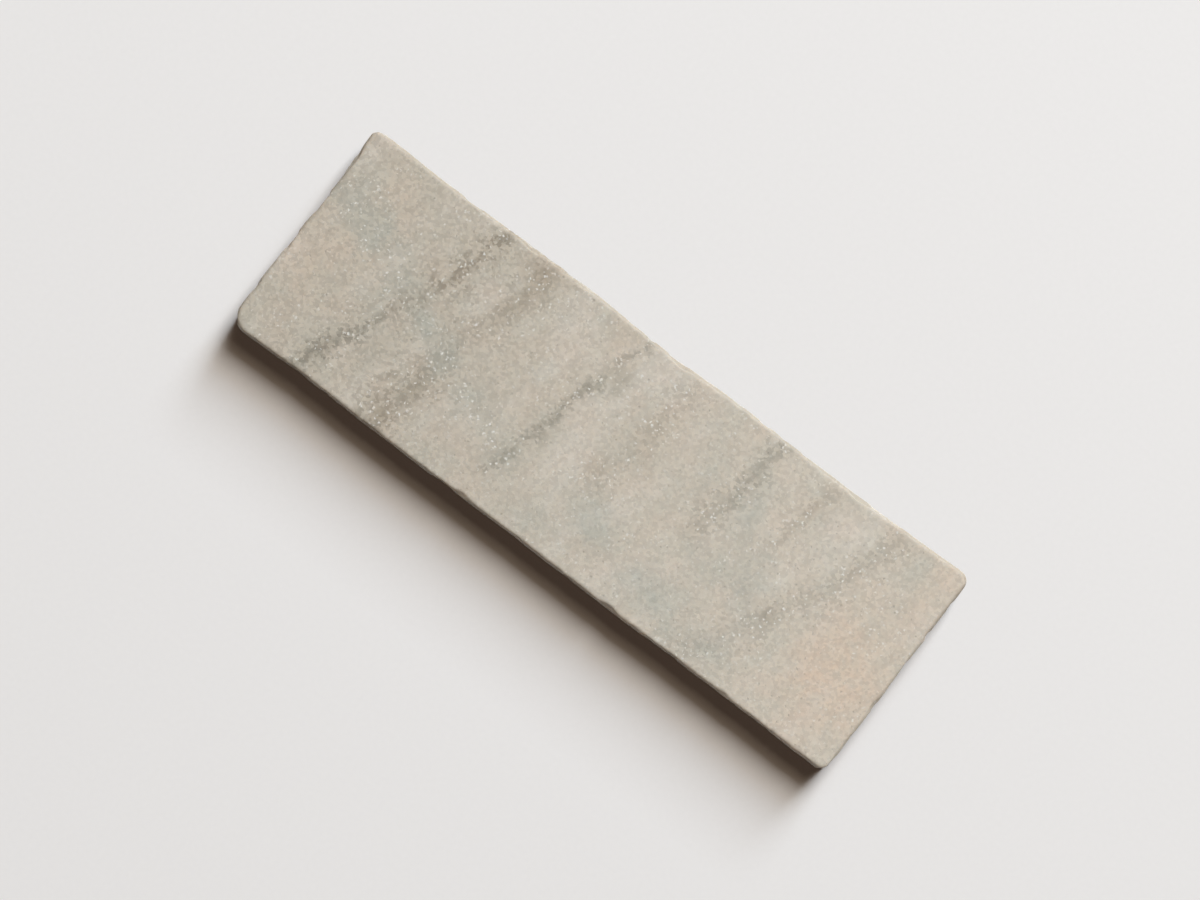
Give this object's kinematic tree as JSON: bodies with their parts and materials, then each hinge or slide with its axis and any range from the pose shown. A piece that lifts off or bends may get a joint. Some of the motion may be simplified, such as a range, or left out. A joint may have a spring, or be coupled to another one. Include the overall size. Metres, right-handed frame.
{
  "type": "tumbled stone tile",
  "caption": "Rectangular tumbled marble tile with worn round corners, softened and chipped arrises and a flat sawn back, bonded to walls and floors.",
  "frame": {"origin": "middle of the tile's sawn back, which is its bed face", "axes": "+X along the tile's length, +Y across its width, +Z out of the show face"},
  "size_m": [0.1524, 0.05, 0.01],
  "materials": {
    "marble": "tumbled, matt, beige with grey veins and a pink cast"
  },
  "bodies": {
    "root": {"tile": "marble"}
  },
  "joints": []
}
